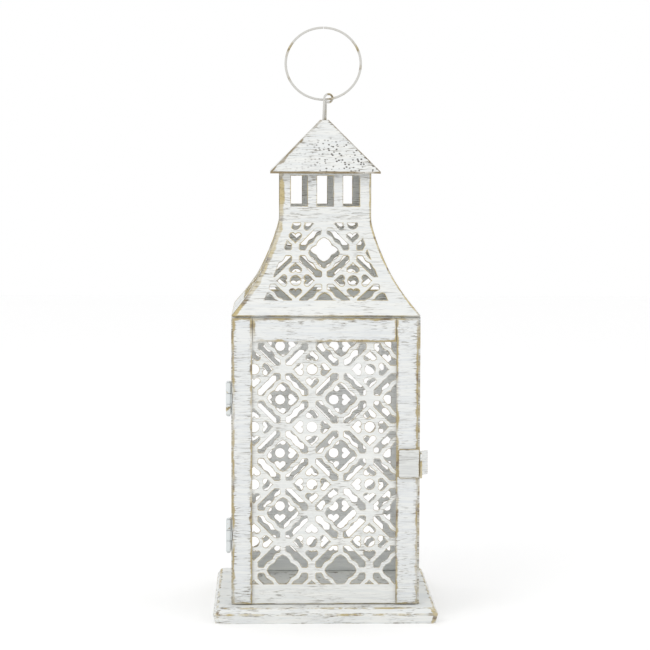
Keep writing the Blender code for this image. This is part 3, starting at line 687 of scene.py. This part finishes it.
def grid_of_punches(node_x, node_z, step_x, step_z, field):
    """All punches that touch a field, a flat outline of (x, z) corners, trimmed to it."""
    stretch = step_z / step_x
    left, right = min(x for x, z in field), max(x for x, z in field)
    bottom, top = min(z for x, z in field), max(z for x, z in field)
    copies = []
    for column in range(-5, 6):
        for row in range(-8, 4):
            x, z = node_x + column * step_x, node_z + row * step_z
            if not (left - step_x < x < right + step_x and bottom - step_z < z < top + step_z):
                continue
            slot_x, slot_z, turn = slot_place(column, row, step_x, step_z)
            copies.append(stamp(slot_punch, node_x + slot_x, node_z + slot_z, turn, stretch))
            if (column + row) % 2 and row % 2:
                copies.append(stamp(flower_punch, x, z, 0, stretch))
                copies += [stamp(petal_punch, x, z, angle, stretch) for angle in (0, 90, 180, 270)]
            elif (column + row) % 2:
                copies.append(stamp(diamond_punch, x, z, 0, stretch))
    grid = join(copies, "punch_grid")
    limit = block("field", (-1, -PUNCH_DEPTH, bottom), (1, PUNCH_DEPTH, top))
    for vertex in limit.data.vertices:
        level = min(field, key=lambda corner: (abs(corner[1] - vertex.co.z), -corner[0] * vertex.co.x))
        vertex.co.x = level[0]
    apply_modifier(grid, "BOOLEAN", operation="INTERSECT", solver="EXACT", object=limit)
    bpy.data.objects.remove(limit)
    return without_crumbs(grid)


def without_crumbs(grid):
    """Drop the loose parts whose hole would be too small to stamp."""
    activate(grid)
    bpy.ops.object.mode_set(mode="EDIT")
    bpy.ops.mesh.select_all(action="SELECT")
    bpy.ops.mesh.separate(type="LOOSE")
    bpy.ops.object.mode_set(mode="OBJECT")
    kept = []
    for part in list(bpy.context.selected_objects):
        shape = bmesh.new()
        shape.from_mesh(part.data)
        hole = abs(shape.calc_volume()) / PUNCH_DEPTH
        shape.free()
        if hole < LEAST_HOLE:
            bpy.data.objects.remove(part)
        else:
            kept.append(part)
    print("stamped openings:", len(kept))
    return join(kept, "punch_grid")


# %% [markdown]
# ## Stamped sheets
# A sheet is a thin block with the grid of punches taken away by one Boolean. Stamping also
# coins a fine raised rim round every opening: both faces are inset by less than half a
# millimetre and the inner region sunk a little. The rims are where the gold shows.

# %% Stamped sheet
RIM = 0.55 * MM
RIM_HEIGHT = 0.18 * MM


def pierce(sheet, grid):
    """Pierce a flat sheet that faces -Y with a grid of punches, and coin its rims."""
    front_y = min(vertex.co.y for vertex in sheet.data.vertices)
    back_y = max(vertex.co.y for vertex in sheet.data.vertices)
    cutter = bpy.data.objects.new("cutter", grid.data.copy())
    bpy.context.scene.collection.objects.link(cutter)
    cutter.data.transform(Matrix.Translation((0, (front_y + back_y) / 2, 0)))
    apply_modifier(sheet, "BOOLEAN", operation="DIFFERENCE", solver="EXACT", object=cutter)
    bpy.data.objects.remove(cutter)
    outward(sheet)
    inset_faces(sheet, lambda face: face.normal.y < -0.99, RIM, RIM_HEIGHT)
    inset_faces(sheet, lambda face: face.normal.y > 0.99, RIM, RIM_HEIGHT)
    mark_wear(sheet, {vertex.index for vertex in sheet.data.vertices
                      if front_y + RIM_HEIGHT / 2 < vertex.co.y < back_y - RIM_HEIGHT / 2})
    return sheet


# %% Door lattice
FIELD_BOTTOM = 23.4 * MM
NODE_X, NODE_Z = -8.8 * MM, 142.6 * MM
STEP = 18.4 * MM

field_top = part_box("door_top_rail")[0][2]
field_left, field_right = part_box("door_left_stile")[1][0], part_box("door_right_stile")[0][0]
door_field = [(field_left, FIELD_BOTTOM), (field_right, FIELD_BOTTOM),
              (field_right, field_top), (field_left, field_top)]
door_grid = grid_of_punches(NODE_X, NODE_Z, STEP, STEP, door_field)
door_sheet = pierce(block("door_sheet", *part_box("door_lattice")), door_grid)
finish(door_sheet, "door_lattice", lattice_paint)

# %% Side and rear lattices
def turned_by(piece, degrees):
    """Turn a piece made at the front round the lantern's axis."""
    activate(piece)
    piece.rotation_euler.z = math.radians(degrees)
    bpy.ops.object.transform_apply(location=True, rotation=True, scale=True)
    return piece


post_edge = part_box("post_rear_right")[0][0]
REAR_NODE_X, REAR_NODE_Z = -8.3 * MM, 146.9 * MM     # the rear sheet's pattern sits higher
wall_field = [(-post_edge, FIELD_BOTTOM), (post_edge, FIELD_BOTTOM),
              (post_edge, field_top), (-post_edge, field_top)]
wall_grid = grid_of_punches(NODE_X, NODE_Z, STEP, STEP, wall_field)
rear_grid = grid_of_punches(REAR_NODE_X, REAR_NODE_Z, STEP, STEP, wall_field)
for side, degrees in (("right", 90), ("left", 270), ("rear", 180)):
    low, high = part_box(f"{side}_lattice")
    unturn = Matrix.Rotation(math.radians(-degrees), 3, "Z")
    corners = [unturn @ Vector(low), unturn @ Vector(high)]
    sheet_low = [min(values) for values in zip(*corners)]
    sheet_high = [max(values) for values in zip(*corners)]
    wall = pierce(block(f"{side}_sheet", sheet_low, sheet_high),
                  rear_grid if side == "rear" else wall_grid)
    finish(turned_by(wall, degrees), f"{side}_lattice", lit_wall_paint)

# %% [markdown]
# ## Hinges
# Each hinge has three knuckles on a pin. A knuckle is a short open cylinder, given a wall by
# Solidify; the leaves are thin blocks that tuck behind the door's stile and along the box.
# The pin is a cylinder whose ends are extruded and scaled into mushroom heads.

# %% Hinges
KNUCKLE = 1.6 * MM
KNUCKLE_BORE = 0.95 * MM
PIN = 0.65 * MM
PIN_HEAD = 1.25 * MM
GAP = 0.3 * MM
LEAF = 0.8 * MM


def knuckle(x, y, bottom, top):
    deselect()
    bpy.ops.mesh.primitive_cylinder_add(
        vertices=28, radius=KNUCKLE, depth=top - bottom, end_fill_type="NOTHING",
        location=(x, y, (bottom + top) / 2))
    barrel = settle("knuckle")
    apply_modifier(barrel, "SOLIDIFY", thickness=KNUCKLE - KNUCKLE_BORE, offset=-1,
                   use_even_offset=True)
    soften(barrel, width=0.12 * MM)
    return barrel


def leaf(low, high):
    plate = block("leaf", low, high)
    soften(plate, width=0.12 * MM)
    return plate


def headed(piece, test, steps, centre):
    """Grow a head on an end face: each step rises by a height and widens by a share."""
    for rise, share in steps:
        pick(piece, "FACE", test)
        bpy.ops.mesh.extrude_region_move(TRANSFORM_OT_translate={"value": rise})
        bpy.ops.transform.resize(value=share, center_override=centre)
    deselect()


DOOR_LEAF_CLEAR = 2.1 * MM     # where the door leaf is full height, from the pin
KNUCKLE_ROOT = 3 * MM          # how far the middle knuckle's root reaches

pin_x = frame["record"]["behaviour"]["joints"][0]["pos_m"][0]
pin_y = frame["record"]["behaviour"]["joints"][0]["pos_m"][1]
for level in ("upper", "lower"):
    body_low, body_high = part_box(f"{level}_hinge_body_leaf")
    door_low, door_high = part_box(f"{level}_hinge_door_leaf")
    pin_low, pin_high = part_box(f"{level}_hinge_pin")
    third = (body_high[2] - body_low[2]) / 3
    body_leaf = join([
        knuckle(pin_x, pin_y, body_low[2], body_low[2] + third - GAP / 2),
        knuckle(pin_x, pin_y, body_high[2] - third + GAP / 2, body_high[2]),
        leaf((body_high[0] - LEAF, pin_y + KNUCKLE + GAP, body_low[2]),
             (body_high[0], body_high[1], body_high[2])),
        leaf((body_high[0] - LEAF, pin_y, body_low[2]),
             (body_high[0], pin_y + KNUCKLE + 2 * GAP, body_low[2] + third - GAP / 2)),
        leaf((body_high[0] - LEAF, pin_y, body_high[2] - third + GAP / 2),
             (body_high[0], pin_y + KNUCKLE + 2 * GAP, body_high[2]))], "body_leaf")
    mark_wear(body_leaf, set())
    finish(body_leaf, f"{level}_hinge_body_leaf", hinge_gold)
    door_leaf = join([
        knuckle(pin_x, pin_y, door_low[2] + third + GAP / 2, door_high[2] - third - GAP / 2),
        leaf((pin_x + KNUCKLE_BORE + GAP, pin_y - LEAF / 2, door_low[2] + third + GAP / 2),
             (pin_x + KNUCKLE_ROOT, pin_y + LEAF / 2, door_high[2] - third - GAP / 2)),
        leaf((pin_x + DOOR_LEAF_CLEAR, pin_y - LEAF / 2, door_low[2]),
             (door_high[0], pin_y + LEAF / 2, door_high[2]))], "door_leaf")
    finish(door_leaf, f"{level}_hinge_door_leaf", hinge_gold)

    deselect()
    middle = (pin_low[2] + pin_high[2]) / 2
    half = (body_high[2] - body_low[2]) / 2 + GAP
    bpy.ops.mesh.primitive_cylinder_add(vertices=24, radius=PIN, depth=2 * half,
                                        location=(pin_x, pin_y, middle))
    pin = settle("pin")
    for side in (1, -1):
        growth = PIN_HEAD / PIN
        rise = pin_high[2] - middle - half
        steps = (((0, 0, 0), (growth, growth, 1)), ((0, 0, side * rise / 2), (1, 1, 1)),
                 ((0, 0, side * rise / 3), (0.82, 0.82, 1)), ((0, 0, side * rise / 6), (0.6, 0.6, 1)))
        headed(pin, lambda face: face.normal.z * side > 0.9 and len(face.verts) > 12, steps,
               (pin_x, pin_y, middle))
    outward(pin)
    finish(pin, f"{level}_hinge_pin", hinge_gold)

# %% [markdown]
# ## Latch
# A strap of spring sheet is fixed on the door's right stile, bends round its edge and runs back
# along the box, where a hole near its end drops over a round stud; its lip flares out so that a
# finger can lift it. The plate is a block with rounded corners. The tab is a plane whose edges
# are extruded round the bend and along the lip, then thickened and drilled.

# %% Latch plate
plate = block("plate", *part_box("latch_plate"))
pick(plate, "EDGE", lambda edge: abs(edge.verts[0].co.y - edge.verts[1].co.y) > 0.5 * MM
     and edge.verts[0].co.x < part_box("latch_plate")[0][0] + MM)
bpy.ops.mesh.bevel(offset=1.6 * MM, segments=4, affect="EDGES")
soften(plate, width=0.25 * MM)
band_and_mark(plate, 1.0 * MM)
finish(plate, "latch_plate", latch_paint)

# %% Latch tab
STRAP = 0.8 * MM
TAB_FLARE_Y = -46.5 * MM
TAB_TIP_X, TAB_TIP_Y = 65.6 * MM, -41.6 * MM
CATCH_HOLE = 2.2 * MM
BEND_ALLOWANCE = 0.27 * MM     # what the thickened bend takes up at the front

tab_low, tab_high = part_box("latch_tab")
stud_low, stud_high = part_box("catch_stud")
catch = Vector((stud_low[0], (stud_low[1] + stud_high[1]) / 2, (stud_low[2] + stud_high[2]) / 2))
tab_inner = stud_low[0] + 0.2 * MM
tab_height = tab_high[2] - tab_low[2]
bend_y = tab_low[1] + STRAP + BEND_ALLOWANCE
deselect()
bpy.ops.mesh.primitive_plane_add(size=1, location=(tab_inner, (bend_y + TAB_FLARE_Y) / 2, catch.z),
                                 rotation=(0, math.radians(90), 0))
bpy.ops.transform.resize(value=(1, TAB_FLARE_Y - bend_y, tab_height))
tab = settle("tab")
lip = Vector((TAB_TIP_X - tab_inner, TAB_TIP_Y - TAB_FLARE_Y, 0))
lip_steps = [Vector((lip.x * across, lip.y * along, 0))
             for across, along in ((0.04, 0.14), (0.13, 0.19), (0.83, 0.67))]
bend_steps = [Vector((-0.1 * MM, -0.2 * MM, 0)), Vector((-0.5 * MM, -0.1 * MM, 0))]
for edge_y, steps in ((max, lip_steps), (min, bend_steps)):
    for step in steps:
        limit = edge_y(vertex.co.y for vertex in tab.data.vertices)
        pick(tab, "EDGE", lambda edge: all(abs(vert.co.y - limit) < 0.02 * MM for vert in edge.verts))
        bpy.ops.mesh.extrude_edges_move()
        bpy.ops.transform.translate(value=step)
        deselect()
pick(tab, "FACE", lambda face: True)
bpy.ops.mesh.normals_make_consistent(inside=False)
deselect()
flips = sum(polygon.normal.x for polygon in tab.data.polygons) < 0
apply_modifier(tab, "SOLIDIFY", thickness=STRAP, offset=-1 if flips else 1, use_even_offset=True)
deselect()
bpy.ops.mesh.primitive_cylinder_add(vertices=32, radius=CATCH_HOLE, depth=6 * MM, location=catch,
                                    rotation=(0, math.radians(90), 0))
drill = settle("drill")
apply_modifier(tab, "BOOLEAN", operation="DIFFERENCE", solver="EXACT", object=drill)
bpy.data.objects.remove(drill)
outward(tab)
soften(tab, width=0.15 * MM)
band_and_mark(tab, 0.7 * MM)
finish(tab, "latch_tab", frame_paint)

# %% Catch stud
deselect()
stud_radius = (stud_high[2] - stud_low[2]) / 2
stud_length = stud_high[0] - stud_low[0]
bpy.ops.mesh.primitive_cylinder_add(vertices=24, radius=stud_radius, depth=stud_length * 0.3,
                                    location=catch + Vector((stud_length * 0.15, 0, 0)),
                                    rotation=(0, math.radians(90), 0))
stud = settle("stud")
headed(stud, lambda face: face.normal.x > 0.9 and len(face.verts) > 12,
       (((stud_length * 0.3, 0, 0), (1, 0.88, 0.88)), ((stud_length * 0.27, 0, 0), (1, 0.68, 0.68)),
        ((stud_length * 0.13, 0, 0), (1, 0.4, 0.4))), catch)
outward(stud)
finish(stud, "catch_stud", hinge_gold)

# %% [markdown]
# ## Roof
# Each side is a trapezoid of sheet, stamped flat like the walls and then rolled into a flare
# that runs up to an upright neck with three vent slots. So it is modelled the same way: cut
# flat with X across and Z along the sheet, sliced into narrow rows, and each row moved on to a
# smooth curve through the model's bends. Every corner stops at the hip, where two sides meet.
# The rear side's vents are off its middle, so it is cut separately. The other three are copies.

# %% Roof profile
ROOF_BENDS = [Vector((half * MM, height * MM)) for half, height in (
    (59.8, 195.2), (49.8, 207.8), (42.4, 219.5), (36.6, 232), (32, 244.5), (29.5, 256), (29.5, 290.1))]
HIP_GAP = 0.22 * MM
RUNS = [0.0]
for lower, upper in zip(ROOF_BENDS, ROOF_BENDS[1:]):
    RUNS.append(RUNS[-1] + (upper - lower).length)
HEADINGS = [(ROOF_BENDS[1] - ROOF_BENDS[0]).normalized()]
for before, after in zip(ROOF_BENDS, ROOF_BENDS[2:]):
    HEADINGS.append((after - before).normalized())
HEADINGS[-1] = Vector((0, 1))
HEADINGS.append(Vector((0, 1)))
print("sheet length from eaves to neck top:", round(RUNS[-1] / MM, 1), "mm")


def on_roof(run):
    """Half width and height of the sheet's outer face at a run from the eaves, and its heading."""
    band = max(k for k in range(len(RUNS) - 1) if run >= RUNS[k] - 0.001 * MM)
    length = RUNS[band + 1] - RUNS[band]
    t = (run - RUNS[band]) / length
    start, end = ROOF_BENDS[band], ROOF_BENDS[band + 1]
    leave, arrive = HEADINGS[band] * length, HEADINGS[band + 1] * length
    point = ((2 * t**3 - 3 * t**2 + 1) * start + (t**3 - 2 * t**2 + t) * leave
             + (3 * t**2 - 2 * t**3) * end + (t**3 - t**2) * arrive)
    slope = ((6 * t**2 - 6 * t) * start + (3 * t**2 - 4 * t + 1) * leave
             + (6 * t - 6 * t**2) * end + (3 * t**2 - 2 * t) * arrive)
    return point, slope.normalized()


# %% Roof blank
ROOF_ROWS = 34
VENT_WIDTH, VENT_PITCH = 10.6 * MM, 16.8 * MM
VENT_BOTTOM, VENT_TOP = 263.5 * MM, 283 * MM
ROOF_NODE = (-19.2 * MM, 45.7 * MM)
ROOF_STEP_X, ROOF_STEP_Z = 18.4 * MM, 19.2 * MM
ROOF_FIELD = [(-39.3 * MM, 12 * MM), (39.3 * MM, 12 * MM),
              (20.5 * MM, 65.5 * MM), (-20.5 * MM, 65.5 * MM)]

REAR_VENT_SHIFT = 2.7 * MM     # the rear vents are off the middle

neck_shift = RUNS[-2] - ROOF_BENDS[-2].y


def flat_side(vent_shift):
    """One side as a flat trapezoid in narrow rows, pierced with its pattern and three vents."""
    pattern = [grid_of_punches(*ROOF_NODE, ROOF_STEP_X, ROOF_STEP_Z, ROOF_FIELD)]
    for k in (-1, 0, 1):
        middle = vent_shift + k * VENT_PITCH
        pattern.append(block("vent", (middle - VENT_WIDTH / 2, -PUNCH_DEPTH / 2, VENT_BOTTOM + neck_shift),
                             (middle + VENT_WIDTH / 2, PUNCH_DEPTH / 2, VENT_TOP + neck_shift)))
    roof_grid = join(pattern, "roof_grid")
    flat = block("roof_blank", (-1, 0, 0), (1, SHEET, RUNS[-1]))
    pick(flat, "FACE", lambda face: True)
    for row in range(1, ROOF_ROWS):
        bpy.ops.mesh.select_all(action="SELECT")
        bpy.ops.mesh.bisect(plane_co=(0, 0, RUNS[-1] * row / ROOF_ROWS), plane_no=(0, 0, 1))
    deselect()
    for vertex in flat.data.vertices:
        vertex.co.x = math.copysign(on_roof(vertex.co.z)[0].x - HIP_GAP, vertex.co.x)
    blank = pierce(flat, roof_grid)
    bpy.data.objects.remove(roof_grid)
    print("flat roof side:", len(blank.data.polygons), "faces")
    return blank


# %% Rolling the roof
MITRE = 2.5 * MM               # the last stretch before a hip, which takes up the mitre


def rolled(blank):
    """Roll a flat side on to the roof's curve."""
    pick(blank, "FACE", lambda face: True)
    bpy.ops.mesh.quads_convert_to_tris()
    for row in range(1, ROOF_ROWS):
        bpy.ops.mesh.select_all(action="SELECT")
        bpy.ops.mesh.bisect(plane_co=(0, 0, RUNS[-1] * row / ROOF_ROWS), plane_no=(0, 0, 1))
    deselect()
    for vertex in blank.data.vertices:
        across, depth, run = vertex.co
        face, heading = on_roof(run)
        half, height = face - Vector((heading.y, -heading.x)) * depth
        straight = face.x - HIP_GAP - MITRE
        if abs(across) > straight:
            share = (abs(across) - straight) / MITRE
            across = math.copysign(straight + (half - HIP_GAP - straight) * share, across)
        vertex.co = (across, -half, height)
    outward(blank)
    return blank


side_panel = rolled(flat_side(0.0))
rear_panel = rolled(flat_side(REAR_VENT_SHIFT))
for side, degrees in (("front", 0), ("right", 90), ("rear", 180), ("left", 270)):
    pattern_mesh = (rear_panel if side == "rear" else side_panel).data
    panel = bpy.data.objects.new(f"{side}_panel", pattern_mesh.copy())
    bpy.context.scene.collection.objects.link(panel)
    finish(turned_by(panel, degrees), f"roof_{side}", roof_paint)

# %% [markdown]
# ## Cap
# A square pyramid folded from thinner sheet sits on the neck, with a short lip turned down all
# round and a hole in its flat tip for the split pin. A cone with four sides is that pyramid.

# %% Cap
CAP_SHEET = 0.8 * MM
CAP_LIP = 1.2 * MM
CAP_FLAT = 2.8 * MM
CAP_HOLE = 2.05 * MM

cap_low, cap_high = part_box("cap")
deselect()
bpy.ops.mesh.primitive_cone_add(
    vertices=4, radius1=cap_high[0] * math.sqrt(2), radius2=CAP_FLAT * math.sqrt(2),
    depth=cap_high[2] - cap_low[2] - CAP_LIP, location=(0, 0, (cap_high[2] + cap_low[2] + CAP_LIP) / 2),
    rotation=(0, 0, math.radians(45)))
cap = settle("cap")
pick(cap, "FACE", lambda face: face.normal.z < -0.9)
bpy.ops.mesh.delete(type="FACE")
pick(cap, "EDGE", lambda edge: edge.is_boundary)
bpy.ops.mesh.extrude_edges_move()
bpy.ops.transform.translate(value=(0, 0, -CAP_LIP))
pick(cap, "EDGE", lambda edge: abs(edge.verts[0].co.z - edge.verts[1].co.z) > 0.5 * CAP_LIP)
bpy.ops.mesh.bevel(offset=0.5 * MM, segments=3, affect="EDGES")
outward(cap)
apply_modifier(cap, "SOLIDIFY", thickness=CAP_SHEET, offset=-1, use_even_offset=True)
deselect()
bpy.ops.mesh.primitive_cylinder_add(vertices=32, radius=CAP_HOLE, depth=12 * MM, location=(0, 0, cap_high[2]))
drill = settle("drill")
apply_modifier(cap, "BOOLEAN", operation="DIFFERENCE", solver="EXACT", object=drill)
bpy.data.objects.remove(drill)
outward(cap)
soften(cap, width=0.2 * MM)
band_and_mark(cap, 0.5 * MM)
finish(cap, "cap", cap_paint)

# %% [markdown]
# ## Eye and ring
# The eye is a split pin: a wire folded double, its loop above the cap and its feet spread
# inside. It is drawn as a curve with a round section and made a mesh. The ring is wire too,
# bent round until its ends meet, so a small disc is spun about the ring's middle and stops
# just short of a full turn, which leaves the fine joint that a real ring has.

# %% Split-pin eye
EYE_TURN = math.radians(45)
EYE_WIRE = 0.7 * MM
EYE_LEG = 1.0 * MM
EYE_LEAN = 0.6 * MM
EYE_HALF_X, EYE_HALF_Z = 3.9 * MM, 2.7 * MM
EYE_CENTRE_X, EYE_CENTRE_Z = EYE_HALF_X - EYE_LEG, 333.1 * MM
EYE_FOOT_Z, EYE_FOOT_REACH = 311.5 * MM, 4.6 * MM
EYE_FOOT_RISE, EYE_FOOT_BEND, EYE_LOOP_START = 3 * MM, 2 * MM, 3 * MM
EYE_SWEEP = math.radians(300)

loop = []
for k in range(41):
    angle = math.pi - EYE_SWEEP * k / 40
    loop.append((EYE_CENTRE_X + EYE_HALF_X * math.cos(angle), EYE_CENTRE_Z + EYE_HALF_Z * math.sin(angle)))
leg = [(-EYE_FOOT_REACH, EYE_FOOT_Z), (-1.5 * EYE_LEG, EYE_FOOT_Z + EYE_FOOT_RISE),
       (-EYE_LEG, EYE_FOOT_Z + EYE_FOOT_RISE + EYE_FOOT_BEND), (-EYE_LEG, cap_high[2] + EYE_LOOP_START)]
eye_path = [*leg, *loop, *[(-x, z) for x, z in reversed(leg)]]
wire = bpy.data.curves.new("eye_wire", "CURVE")
wire.dimensions = "3D"
wire.bevel_depth = EYE_WIRE
wire.bevel_resolution = 5
wire.use_fill_caps = True
spline = wire.splines.new("POLY")
spline.points.add(len(eye_path) - 1)
for point, (along, z) in zip(spline.points, eye_path):
    rise = max(0.0, z - cap_high[2]) / (EYE_CENTRE_Z - cap_high[2])
    point.co = (along * math.cos(EYE_TURN) + EYE_LEAN * rise, along * math.sin(EYE_TURN), z, 1)
eye = bpy.data.objects.new("eye", wire)
bpy.context.scene.collection.objects.link(eye)
activate(eye)
bpy.ops.object.convert(target="MESH")
outward(eye)
finish(eye, "hanger_eye", wire_gold, smooth_angle=60)

# %% Ring
RING_WIRE = 0.75 * MM
RING_JOINT = math.radians(0.8)

ring_low, ring_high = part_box("hanger_ring")
ring_middle = Vector(((ring_low[0] + ring_high[0]) / 2, (ring_low[1] + ring_high[1]) / 2,
                      (ring_low[2] + ring_high[2]) / 2))
ring_radius = (ring_high[2] - ring_low[2]) / 2 - RING_WIRE
ring_widen = (ring_high[0] - ring_low[0]) / (ring_high[2] - ring_low[2])
deselect()
bpy.ops.mesh.primitive_circle_add(
    vertices=20, radius=RING_WIRE, fill_type="NGON",
    location=ring_middle + Vector((0, 0, ring_radius)), rotation=(0, math.radians(90), 0))
ring = settle("ring")
pick(ring, "FACE", lambda face: True)
bpy.ops.mesh.spin(steps=120, angle=2 * math.pi - RING_JOINT, center=ring_middle, axis=(0, 1, 0))
bpy.ops.mesh.select_all(action="SELECT")
bpy.ops.transform.resize(value=(ring_widen, 1, 1), center_override=ring_middle)
outward(ring)
finish(ring, "hanger_ring", wire_gold, smooth_angle=60)

# %% Clearing the bench
for punch in (*punches, door_grid, wall_grid, rear_grid, side_panel, rear_panel):
    bpy.data.objects.remove(punch)
